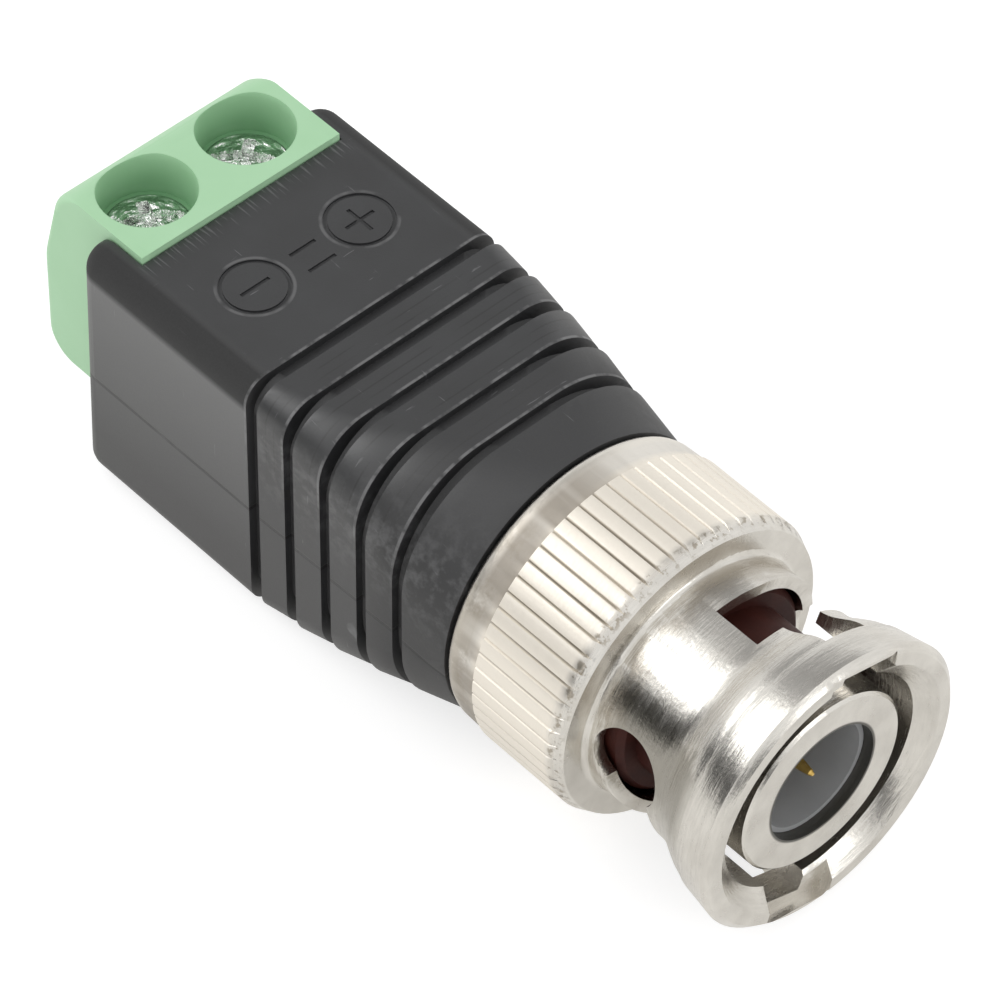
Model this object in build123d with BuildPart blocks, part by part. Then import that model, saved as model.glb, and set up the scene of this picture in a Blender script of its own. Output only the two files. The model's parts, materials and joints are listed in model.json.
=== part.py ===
import os
from math import cos, pi, radians, sin

from build123d import *

# BNC plug with a two-way screw terminal on its back, in millimetres.
# X runs along the plug's axis towards its mouth, Y across it and Z up, with the terminal screws on top.
# The origin is the centre of the plug's mouth, so that nearly all of the part lies at negative X.

# Clearances
press_gap = 0.02
slide_gap = 0.05
face_gap = 0.05
turn_gap = 0.10
nut_gap = 0.20
pocket_gap = 0.06
cutter_margin = 1.0

# Outer contact
contact_radius = 4.05
contact_bore = 2.65
contact_length = 3.2
contact_edge = 0.12
seal_seat_radius = 3.45
collar_radius = 4.7
collar_length = 1.0
neck_radius = 4.0
ring_seat_depth = 0.4
grip_radius = 5.0
grip_length = 1.4
grip_flats = 9.2
tail_radius = 3.2
tail_length = 2.6

# Seal, washers and ring round the outer contact
seal_length = 4.0
seal_wall = 0.4
seal_face_radius = 4.7
seal_face_length = 1.2
seal_chamfer = 0.25
spring_space = 1.4
spring_sheet = 0.2
spring_wave_length = 6.0
washer_thickness = 0.35
washer_outer_radius = 4.75
ring_thickness = 0.5
ring_outer_radius = 5.1
ring_opening = 5.0

# Coupling nut
nut_lead = 0.5
nut_bore_radius = 4.875
rim_wall = 1.625
rim_round = 0.3
funnel_flare = 0.785
funnel_depth = 0.65
crease_drop = 0.33
crease_step = 0.07
flange_length = 1.8
flare_length = 2.3
barrel_wall = 0.525
barrel_length = 7.65
root_round = 0.25
shoulder_drop = 0.26
bevel_length = 0.6
knurl_rise = 0.13
knurl_length = 4.18
knurl_depth = 0.16
knurl_teeth = 60
band_wall = 0.92
band_round = 0.45
inner_shoulder_length = 1.2
inner_shoulder_gap = 0.15
recess_gap = 0.6
recess_cover = 1.65

# Bayonet slots, with angles measured from the top towards positive Y
slot_width = 2.2
slot_setback = 4.88
slot_start = -5.0
slot_turn_start = 20.0
detent_angle = 96.0
detent_setback = 5.57
detent_diameter = 3.3
entry_angle = 20.5
entry_width = 2.2
entry_depth = 0.725
lead_in_angle = 13.5
lead_in_width = 3.4
lead_in_height = 1.175
lead_in_depth = 0.5

# Insulators and pin on the axis
insulator_setback = 0.5
cup_wall = 0.21
cup_depth = 5.4
insulator_split = 9.0
pin_setback = 0.5
pin_radius = 0.675
pin_tip_radius = 0.14
pin_nose_radius = 0.31
pin_nose_length = 1.2
pin_taper_length = 1.3
pin_shank_radius = 0.9
pin_collar_radius = 1.15
pin_collar_length = 0.6
pin_tail_radius = 0.7
pin_tail_length = 2.0
solder_cup_radius = 0.45
solder_cup_depth = 1.6
solder_cup_open = 1.2

# Moulded shell
shell_width = 12.8
shell_top = 6.0
shell_bottom = -6.65
shell_corner = 1.1
shell_rear_round = 0.95
shell_wall = 1.25
front_wall = 0.85
box_length = 10.0
rear_lean = 0.3
seam_height = -0.9
rib_count = 4
rib_step = 2.08
rib_groove_width = 0.62
rib_groove_depth = 0.4
rib_edge = 0.12
cone_length = 3.05
mouth_radius = 6.5
rear_plate = 0.95
wire_tunnel_radius = 4.6
peg_radius = 0.45
peg_height = 0.8
post_radius = 0.85
post_spacing = 3.4
post_sink = 0.1
post_rear_gap = 0.3

# Terminal block
pole_spacing = 5.08
block_width = 10.16
block_top = 6.3
block_bottom = -3.4
block_floor = 0.4
block_seat = 2.42
block_top_depth = 5.25
block_overhang = 1.1
block_slope_height = 4.4
block_step_height = 1.35
block_step_depth = 1.1
block_bottom_round = 1.2
block_top_round = 0.45
block_slope_round = 3.6
well_setback = 2.7
well_radius = 1.97
well_mouth_radius = 2.04
well_mouth_depth = 0.5

# Terminal screws
screw_sink = 2.1
head_radius = 1.75
head_height = 1.6
head_edge = 0.2
drive_width = 0.62
drive_depth = 0.65
cross_length = 2.3
screw_radius = 1.25

# Clamp cages
cage_length = 4.4
cage_top_sheet = 0.8
cage_bottom_sheet = 0.45
cage_side_sheet = 0.4
cage_window_height = 2.8
cage_round = 0.3
cage_gap = 0.15
wire_space = 2.0
entry_flare = 0.25

# Contact bars and leads
bar_thickness = 0.7
bar_width = 2.3
bar_foot = 0.35
bar_tail_width = 1.3
bar_tail_length = 2.4
lead_radius = 0.3
sheath_radius = 0.55
strip_length = 1.3
sheath_gap = 0.2
bare_gap = 0.9
lug_thickness = 0.4
lug_radius = 4.3
lug_tab_width = 1.6
lug_tab_length = 2.6

# Places along the axis, from the mouth backwards
seal_front = -contact_length
collar_front = seal_front - seal_length
collar_rear = collar_front - collar_length
washer_front = collar_rear - spring_space
washer_rear = washer_front - washer_thickness
inner_shoulder_front = washer_rear - face_gap
inner_shoulder_rear = inner_shoulder_front - inner_shoulder_length
ring_front = inner_shoulder_rear - nut_gap
ring_rear = ring_front - ring_thickness
nut_rear = ring_rear - recess_cover
nut_front = nut_lead
crease_x = nut_front - flange_length
flare_rear = crease_x - flare_length
shoulder_face = nut_front - barrel_length
knurl_front = shoulder_face - bevel_length
knurl_rear = knurl_front - knurl_length
cup_floor = -insulator_setback - cup_depth

# Radii of the coupling nut, from its bore and from the ring inside it
rim_inner_radius = nut_bore_radius + funnel_flare
rim_outer_radius = nut_bore_radius + rim_wall
crease_radius = rim_outer_radius - crease_drop
barrel_radius = nut_bore_radius + barrel_wall
entry_radius = nut_bore_radius + entry_depth
lead_in_radius = nut_bore_radius + lead_in_height
inner_shoulder_radius = neck_radius + inner_shoulder_gap
recess_radius = ring_outer_radius + recess_gap
band_radius = recess_radius + band_wall
knurl_radius = band_radius + knurl_rise
shoulder_radius = knurl_radius - shoulder_drop

shell_front = nut_rear - nut_gap
cone_rear = shell_front - cone_length
box_front = cone_rear - rib_count * rib_step
shell_rear = box_front - box_length
grip_front = shell_front - front_wall
grip_rear = grip_front - grip_length
plate_rear = grip_rear - face_gap - rear_plate
tail_rear = grip_rear - tail_length
tunnel_rear = box_front - shell_wall

block_front = shell_rear + block_seat
block_nose = block_front + block_step_depth
block_rear_top = block_front - block_top_depth
block_rear = block_rear_top - block_overhang
well_x = block_front - well_setback
block_side = block_width / 2
terminal_sides = {"left": -pole_spacing / 2, "right": pole_spacing / 2}

# Heights inside the terminal block
head_top = block_top - screw_sink
head_bottom = head_top - head_height
cage_roof = head_bottom
bar_bottom = block_bottom + block_floor + face_gap + cage_bottom_sheet + wire_space
bar_top = bar_bottom + bar_thickness
cage_floor = bar_bottom - wire_space
cage_bottom = cage_floor - cage_bottom_sheet
cage_window_top = cage_floor + cage_window_height
cage_top = cage_window_top + cage_top_sheet
cage_width = 2 * (screw_radius + turn_gap + cage_side_sheet)
cage_lift = cage_roof - face_gap - cage_top
cage_half_gap = cage_width / 2 + cage_gap
cage_x_front = well_x + cage_length / 2
cage_x_rear = well_x - cage_length / 2
chamber_front = cage_x_front + cage_gap
chamber_rear = cage_x_rear - cage_gap
bar_front = block_nose + bar_tail_length
bar_rear = chamber_rear - bar_foot


def around(angle):
    """Turns an angle from the top towards positive Y into one on the YZ plane."""
    return 90 - angle


os.makedirs("parts", exist_ok=True)


# Outer contact: one turned brass body from the mouth to the tail inside the shell
with BuildPart() as bnc_body:
    with BuildSketch(Plane.XZ):
        with BuildLine():
            Polyline(
                (0, contact_bore),
                (0, contact_radius - contact_edge),
                (-contact_edge, contact_radius),
                (seal_front, contact_radius),
                (seal_front, seal_seat_radius),
                (collar_front, seal_seat_radius),
                (collar_front, collar_radius),
                (collar_rear, collar_radius),
                (collar_rear, neck_radius),
                (ring_front + press_gap, neck_radius),
                (ring_front + press_gap, neck_radius - ring_seat_depth),
                (ring_rear - press_gap, neck_radius - ring_seat_depth),
                (ring_rear - press_gap, neck_radius),
                (grip_front, neck_radius),
                (grip_front, grip_radius),
                (grip_rear, grip_radius),
                (grip_rear, tail_radius),
                (tail_rear, tail_radius),
                (tail_rear, contact_bore),
                close=True,
            )
        make_face()
    revolve(axis=Axis.X)
    with BuildSketch(Plane.YZ.offset(grip_front)):
        Circle(grip_radius + cutter_margin)
        Rectangle(4 * grip_radius, grip_flats, mode=Mode.SUBTRACT)
    extrude(amount=-grip_length, mode=Mode.SUBTRACT)
bnc_body.part.label = "bnc_body"
export_step(bnc_body.part, "parts/bnc_body.step")


# Front insulator: a deep cup that holds the pin
with BuildPart() as front_insulator:
    with BuildSketch(Plane.XZ):
        with BuildLine():
            Polyline(
                (-insulator_setback, contact_bore - press_gap - cup_wall),
                (-insulator_setback, contact_bore - press_gap),
                (-insulator_split, contact_bore - press_gap),
                (-insulator_split, pin_collar_radius + press_gap),
                (-insulator_split + pin_collar_length + press_gap, pin_collar_radius + press_gap),
                (-insulator_split + pin_collar_length + press_gap, pin_shank_radius + press_gap),
                (cup_floor, pin_shank_radius + press_gap),
                (cup_floor, contact_bore - press_gap - cup_wall),
                close=True,
            )
        make_face()
    revolve(axis=Axis.X)
front_insulator.part.label = "front_insulator"
export_step(front_insulator.part, "parts/front_insulator.step")


# Rear insulator: a bush that closes the body behind the pin's collar
with BuildPart() as rear_insulator:
    with BuildSketch(Plane.XZ):
        with BuildLine():
            Polyline(
                (-insulator_split - press_gap, pin_tail_radius + press_gap),
                (-insulator_split - press_gap, contact_bore - press_gap),
                (tail_rear, contact_bore - press_gap),
                (tail_rear, pin_tail_radius + press_gap),
                close=True,
            )
        make_face()
    revolve(axis=Axis.X)
rear_insulator.part.label = "rear_insulator"
export_step(rear_insulator.part, "parts/rear_insulator.step")


# Centre pin: a slender nose, the contact length, a collar and a solder cup with one side open
pin_tip = -pin_setback
pin_taper_front = pin_tip - pin_nose_length
pin_full = pin_taper_front - pin_taper_length
pin_end = tail_rear - pin_tail_length
with BuildPart() as centre_pin:
    with BuildSketch(Plane.XZ):
        with BuildLine():
            Line((pin_end, 0), (pin_tip, 0))
            Line((pin_tip, 0), (pin_tip, pin_tip_radius / 2))
            Line((pin_tip, pin_tip_radius / 2), (pin_tip - pin_tip_radius, pin_tip_radius))
            Polyline(
                (pin_tip - pin_tip_radius, pin_tip_radius),
                (pin_taper_front, pin_nose_radius),
                (pin_full, pin_radius),
                (cup_floor, pin_radius),
                (cup_floor, pin_shank_radius),
                (-insulator_split + pin_collar_length, pin_shank_radius),
                (-insulator_split + pin_collar_length, pin_collar_radius),
                (-insulator_split, pin_collar_radius),
                (-insulator_split, pin_tail_radius),
                (pin_end, pin_tail_radius),
                (pin_end, 0),
            )
        make_face()
    revolve(axis=Axis.X)
    with BuildSketch(Plane.YZ.offset(pin_end)):
        Circle(solder_cup_radius)
    extrude(amount=solder_cup_depth, mode=Mode.SUBTRACT)
    with BuildSketch(Plane.XY.offset(solder_cup_radius / 2)):
        with Locations((pin_end, 0)):
            Rectangle(2 * solder_cup_open, 3 * pin_tail_radius)
    extrude(amount=pin_tail_radius, mode=Mode.SUBTRACT)
centre_pin.part.label = "centre_pin"
export_step(centre_pin.part, "parts/centre_pin.step")


# Seal: a soft sleeve in the body's relief with a thicker face for the socket's rim
with BuildPart() as seal_sleeve:
    with BuildSketch(Plane.XZ):
        with BuildLine():
            Polyline(
                (seal_front - press_gap, seal_seat_radius + press_gap),
                (seal_front - press_gap, seal_seat_radius + seal_wall),
                (collar_front + seal_face_length, seal_seat_radius + seal_wall),
                (collar_front + seal_face_length, seal_face_radius - seal_chamfer),
                (collar_front + seal_face_length - seal_chamfer, seal_face_radius),
                (collar_front + press_gap, seal_face_radius),
                (collar_front + press_gap, seal_seat_radius + press_gap),
                close=True,
            )
        make_face()
    revolve(axis=Axis.X)
seal_sleeve.part.label = "seal_sleeve"
export_step(seal_sleeve.part, "parts/seal_sleeve.step")


# Thrust washer: the flat ring that the nut's inner shoulder pushes forward
with BuildPart() as thrust_washer:
    with BuildSketch(Plane.YZ.offset(washer_front)):
        Circle(washer_outer_radius)
        Circle(neck_radius + turn_gap, mode=Mode.SUBTRACT)
    extrude(amount=-washer_thickness)
thrust_washer.part.label = "thrust_washer"
export_step(thrust_washer.part, "parts/thrust_washer.step")


# Wave washers: two rings of spring sheet, each pressed in even waves and set crest to crest
wave_room = spring_space / 2
wave_height = (wave_room - spring_sheet) / 2 - 2 * face_gap
wave_reach = spring_wave_length
for number, name in enumerate(("wave_washer_front", "wave_washer_rear")):
    wave_middle = collar_rear - wave_room * (number + 0.5)
    wave = []
    for step in range(-6, 7):
        rise = wave_height * cos(pi * step / 3 + pi * number)
        wave.append((wave_middle + rise, wave_reach * step / 6))
    with BuildPart() as wave_washer:
        with BuildSketch(Plane.XY.offset(-wave_reach)):
            with BuildLine():
                rear_side = Spline(*[(x - spring_sheet / 2, y) for x, y in wave])
                front_side = Spline(*[(x + spring_sheet / 2, y) for x, y in wave])
                Line(rear_side @ 0, front_side @ 0)
                Line(rear_side @ 1, front_side @ 1)
            make_face()
        extrude(amount=2 * wave_reach)
        with BuildSketch(Plane.YZ.offset(wave_middle - wave_room / 2)):
            Circle(washer_outer_radius - turn_gap / 2)
            Circle(neck_radius + 3 * turn_gap / 2, mode=Mode.SUBTRACT)
        extrude(amount=wave_room, mode=Mode.INTERSECT)
    wave_washer.part.label = name
    export_step(wave_washer.part, f"parts/{name}.step")


# Retaining ring: an open ring in the body's groove behind the nut's inner shoulder
with BuildPart() as retaining_ring:
    with BuildSketch(Plane.YZ.offset(ring_front)):
        Circle(ring_outer_radius)
        Circle(neck_radius - ring_seat_depth + press_gap, mode=Mode.SUBTRACT)
        with Locations((0, -ring_outer_radius)):
            Rectangle(ring_opening, 2 * ring_outer_radius - neck_radius, mode=Mode.SUBTRACT)
    extrude(amount=-ring_thickness)
retaining_ring.part.label = "retaining_ring"
export_step(retaining_ring.part, "parts/retaining_ring.step")


# Cutter for the climbing stretch of a bayonet slot, which runs along a helix about X
slot_x = nut_front - slot_setback
detent_x = nut_front - detent_setback
ramp_angle = detent_angle - slot_turn_start
ramp_climb = slot_x - detent_x
slot_reach = knurl_radius + cutter_margin
with BuildPart() as slot_ramp:
    with BuildLine() as ramp:
        Helix(
            pitch=ramp_climb * 360 / ramp_angle,
            height=ramp_climb,
            radius=nut_bore_radius,
            center=(detent_x, 0, 0),
            direction=(1, 0, 0),
        )
    with BuildSketch(Plane(ramp.line @ 0, x_dir=(0, 0, 1), z_dir=ramp.line % 0)):
        Rectangle(2 * (slot_reach - nut_bore_radius), slot_width)
    sweep(is_frenet=True)


# Coupling nut: knurled grip, thin barrel with two bayonet slots, and a flared mouth
with BuildPart() as coupling_nut:
    with BuildSketch(Plane.XZ) as nut_profile:
        with BuildLine():
            Polyline(
                (crease_x, crease_radius),
                (crease_x, crease_radius + crease_step),
                (nut_front - rim_round, rim_outer_radius),
                (nut_front, rim_outer_radius - rim_round),
                (nut_front, rim_inner_radius),
                (nut_front - funnel_depth, nut_bore_radius),
                (inner_shoulder_front, nut_bore_radius),
                (inner_shoulder_front, inner_shoulder_radius),
                (inner_shoulder_rear, inner_shoulder_radius),
                (inner_shoulder_rear, recess_radius),
                (nut_rear, recess_radius),
                (nut_rear, band_radius),
                (knurl_rear, band_radius),
                (knurl_rear, knurl_radius),
                (knurl_front, knurl_radius),
                (shoulder_face, shoulder_radius),
                (shoulder_face, barrel_radius),
                (flare_rear, barrel_radius),
            )
            Spline((flare_rear, barrel_radius), (crease_x, crease_radius), tangents=[(1, 0), (1, 0.1)])
        make_face()
        fillet(nut_profile.vertices().sort_by_distance((shoulder_face, barrel_radius))[0], root_round)
        fillet(nut_profile.vertices().sort_by_distance((nut_rear, band_radius))[0], band_round)
    revolve(axis=Axis.X)
    # Knurl: straight V grooves that run out on the bevel
    with BuildSketch(Plane.YZ.offset(knurl_rear)):
        with PolarLocations(knurl_radius - knurl_depth, knurl_teeth):
            Polygon((0, 0), (2 * knurl_depth, 2 * knurl_depth), (2 * knurl_depth, -2 * knurl_depth), align=None)
    extrude(amount=knurl_length + bevel_length, mode=Mode.SUBTRACT)
    # Lead-in notches and grooves that let the socket's lugs in
    with BuildSketch(Plane.YZ.offset(nut_front)):
        with PolarLocations(0, 2, start_angle=around(lead_in_angle)):
            Rectangle(lead_in_radius, lead_in_width, align=(Align.MIN, Align.CENTER))
    extrude(amount=-lead_in_depth, mode=Mode.SUBTRACT)
    with BuildSketch(Plane.YZ.offset(nut_front)):
        with PolarLocations(0, 2, start_angle=around(entry_angle)):
            Rectangle(entry_radius, entry_width, align=(Align.MIN, Align.CENTER))
    extrude(amount=-slot_setback, mode=Mode.SUBTRACT)
    with BuildSketch(Plane.YZ.offset(crease_x - face_gap)):
        with PolarLocations(0, 2, start_angle=around(entry_angle)):
            Rectangle(slot_reach, entry_width, align=(Align.MIN, Align.CENTER))
    extrude(amount=slot_x - crease_x, mode=Mode.SUBTRACT)
    # Level stretch of each slot, then its climb and its round detent
    with BuildSketch(Plane.YZ.offset(slot_x - slot_width / 2)):
        with PolarLocations(0, 2):
            Polygon(
                (0, 0),
                (slot_reach * sin(radians(slot_start)), slot_reach * cos(radians(slot_start))),
                (slot_reach * sin(radians(slot_turn_start + 1)), slot_reach * cos(radians(slot_turn_start + 1))),
                align=None,
            )
    extrude(amount=slot_width, mode=Mode.SUBTRACT)
    for half_turn in (0, 180):
        add(slot_ramp.part, rotation=(half_turn - detent_angle, 0, 0), mode=Mode.SUBTRACT)
    detent_side = (0, sin(radians(detent_angle)), cos(radians(detent_angle)))
    with BuildSketch(Plane((detent_x, 0, 0), x_dir=(1, 0, 0), z_dir=detent_side)):
        Circle(detent_diameter / 2)
    extrude(amount=slot_reach, both=True, mode=Mode.SUBTRACT)
coupling_nut.part.label = "coupling_nut"
export_step(coupling_nut.part, "parts/coupling_nut.step")


# Terminal housing: one green moulding with a screw well, a cage chamber and a wire entry for each pole
with BuildPart() as terminal_housing:
    with BuildSketch(Plane.XZ) as block_profile:
        with BuildLine():
            Polyline(
                (block_front, block_top),
                (block_rear_top, block_top),
                (block_rear, block_top - block_slope_height),
                (block_rear, block_bottom),
                (block_nose, block_bottom),
                (block_nose, block_top - block_step_height),
                (block_front, block_top - block_step_height),
                close=True,
            )
        make_face()
        fillet(block_profile.vertices().sort_by_distance((block_rear, block_bottom))[0], block_bottom_round)
        fillet(block_profile.vertices().sort_by_distance((block_rear_top, block_top))[0], block_top_round)
        slope_end = (block_rear, block_top - block_slope_height)
        fillet(block_profile.vertices().sort_by_distance(slope_end)[0], block_slope_round)
    extrude(amount=block_side, both=True)
    with Locations(*[(well_x, side, block_top - well_mouth_depth / 2) for side in terminal_sides.values()]):
        Cone(well_radius, well_mouth_radius, well_mouth_depth, mode=Mode.SUBTRACT)
    for side in terminal_sides.values():
        with BuildSketch(Plane.XY.offset(cage_roof)):
            with Locations((well_x, side)):
                Circle(head_radius + slide_gap)
        extrude(amount=head_height, mode=Mode.SUBTRACT)
        with BuildSketch(Plane.XY.offset(head_top)):
            with Locations((well_x, side)):
                Circle(well_radius)
        extrude(amount=screw_sink, mode=Mode.SUBTRACT)
        with BuildSketch(Plane.XY.offset(cage_bottom - face_gap)):
            with Locations((well_x, side)):
                Rectangle(chamber_front - chamber_rear, 2 * cage_half_gap)
        extrude(amount=cage_roof - cage_bottom + face_gap, mode=Mode.SUBTRACT)
        entry_high = bar_bottom - cage_floor
        entry_middle = (bar_bottom + cage_floor) / 2
        with BuildSketch(Plane.YZ.offset(chamber_rear)):
            with Locations((side, entry_middle)):
                Rectangle(bar_width, entry_high)
        with BuildSketch(Plane.YZ.offset(block_rear)):
            with Locations((side, entry_middle)):
                Rectangle(bar_width + 2 * entry_flare, entry_high + 2 * entry_flare)
        loft(mode=Mode.SUBTRACT)
        with BuildSketch(Plane.XY.offset(bar_bottom - press_gap)):
            with Locations((bar_rear - press_gap, side)):
                Rectangle(bar_front - bar_rear, bar_width + 2 * press_gap, align=(Align.MIN, Align.CENTER))
        extrude(amount=bar_thickness + 2 * press_gap, mode=Mode.SUBTRACT)
terminal_housing.part.label = "terminal_housing"
export_step(terminal_housing.part, "parts/terminal_housing.step")


# Screws, cages and contact bars, one of each for either pole
for pole, side in terminal_sides.items():
    screw_tip = bar_top + face_gap
    with BuildPart() as terminal_screw:
        with BuildSketch(Plane.XY.offset(head_bottom)):
            with Locations((well_x, side)):
                Circle(head_radius)
        extrude(amount=head_height)
        chamfer(terminal_screw.edges().sort_by(Axis.Z)[-1], head_edge)
        with BuildSketch(Plane.XY.offset(screw_tip)):
            with Locations((well_x, side)):
                Circle(screw_radius)
        extrude(amount=head_bottom - screw_tip)
        chamfer(terminal_screw.edges().sort_by(Axis.Z)[0], head_edge)
        with BuildSketch(Plane.XY.offset(head_top)):
            with Locations((well_x, side)):
                Rectangle(3 * head_radius, drive_width)
                Rectangle(drive_width, cross_length)
        extrude(amount=-drive_depth, mode=Mode.SUBTRACT)
    terminal_screw.part.label = f"terminal_screw_{pole}"
    export_step(terminal_screw.part, f"parts/terminal_screw_{pole}.step")

    with BuildPart() as clamp_cage:
        with BuildSketch(Plane.YZ.offset(cage_x_rear)):
            with Locations((side, (cage_top + cage_bottom) / 2)):
                RectangleRounded(cage_width, cage_top - cage_bottom, cage_round)
            with Locations((side, (cage_window_top + cage_floor) / 2)):
                Rectangle(cage_width - 2 * cage_side_sheet, cage_window_height, mode=Mode.SUBTRACT)
        extrude(amount=cage_length)
        with BuildSketch(Plane.XY.offset(cage_window_top)):
            with Locations((well_x, side)):
                Circle(screw_radius + slide_gap)
        extrude(amount=cage_top_sheet, mode=Mode.SUBTRACT)
    clamp_cage.part.label = f"clamp_cage_{pole}"
    export_step(clamp_cage.part, f"parts/clamp_cage_{pole}.step")

    with BuildPart() as contact_bar:
        with BuildSketch(Plane.XY.offset(bar_bottom)):
            with Locations((bar_rear, side)):
                Rectangle(block_nose - bar_rear, bar_width, align=(Align.MIN, Align.CENTER))
            with Locations((block_nose, side)):
                Rectangle(bar_front - block_nose, bar_tail_width, align=(Align.MIN, Align.CENTER))
        extrude(amount=bar_thickness)
    contact_bar.part.label = f"contact_bar_{pole}"
    export_step(contact_bar.part, f"parts/contact_bar_{pole}.step")


# Ground lug: a ring on the body's tail with a tab folded back for its lead
lug_front = plate_rear - press_gap
lug_rear = lug_front - lug_thickness
with BuildPart() as ground_lug:
    with BuildSketch(Plane.YZ.offset(lug_front)):
        Circle(lug_radius)
        Circle(tail_radius + press_gap, mode=Mode.SUBTRACT)
    extrude(amount=-lug_thickness)
    with BuildSketch(Plane.XY.offset(-lug_tab_width / 2)):
        with Locations((lug_front, -lug_radius)):
            Rectangle(lug_tab_length, lug_thickness, align=(Align.MAX, Align.MIN))
    extrude(amount=lug_tab_width)
ground_lug.part.label = "ground_lug"
export_step(ground_lug.part, "parts/ground_lug.step")


# Leads: a bare wire from each bar's tail to the pin or the lug, with a sheath along its middle
lead_start_x = bar_front - strip_length
lead_start_z = bar_top + lead_radius + press_gap
lug_wire_y = -lug_radius + lug_thickness + lead_radius + press_gap
lead_ends = {
    "signal_lead": (terminal_sides["right"], (pin_end + solder_cup_depth - face_gap, 0, 0)),
    "ground_lead": (terminal_sides["left"], (lug_rear - press_gap, lug_wire_y, 0)),
}
for name, (side, lead_end) in lead_ends.items():
    sheath_start = (bar_front + sheath_gap, side, lead_start_z)
    sheath_end = (lead_end[0] - solder_cup_depth - bare_gap, lead_end[1], lead_end[2])
    sheath_middle = tuple((first + last) / 2 for first, last in zip(sheath_start, sheath_end))
    with BuildPart() as lead:
        with BuildLine() as wire:
            Line((lead_start_x, side, lead_start_z), sheath_start)
            rear_bend = TangentArc(sheath_start, sheath_middle, tangent=(1, 0, 0))
            TangentArc(sheath_middle, sheath_end, tangent=rear_bend % 1)
            Line(sheath_end, lead_end)
        with BuildSketch(Plane((lead_start_x, side, lead_start_z), x_dir=(0, 1, 0), z_dir=(1, 0, 0))):
            Circle(lead_radius)
        sweep(path=wire.wires()[0])
        with BuildLine() as sheath:
            rear_bend = TangentArc(sheath_start, sheath_middle, tangent=(1, 0, 0))
            TangentArc(sheath_middle, sheath_end, tangent=rear_bend % 1)
        with BuildSketch(Plane(sheath_start, x_dir=(0, 1, 0), z_dir=(1, 0, 0))):
            Circle(sheath_radius)
        sweep(path=sheath.wires()[0])
    lead.part.label = name
    export_step(lead.part, f"parts/{name}.step")


def shell_outline(x, inset=0.0):
    """One cross-section of the ribbed part of the shell, from the square box to the round front."""
    share = max(0, x - box_front) / (shell_front - box_front)
    width = shell_width + (2 * mouth_radius - shell_width) * share
    top = shell_top + (mouth_radius - shell_top) * share
    bottom = shell_bottom - (mouth_radius + shell_bottom) * share
    corner = shell_corner + (mouth_radius - shell_corner) * share**1.5
    height = top - bottom
    with BuildSketch(Plane.YZ.offset(x)) as outline:
        with Locations((0, (top + bottom) / 2)):
            RectangleRounded(
                width - 2 * inset,
                height - 2 * inset,
                min(corner, (min(width, height) - 2 * inset) / 2 - 0.02),
            )
    return outline.sketch


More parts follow.
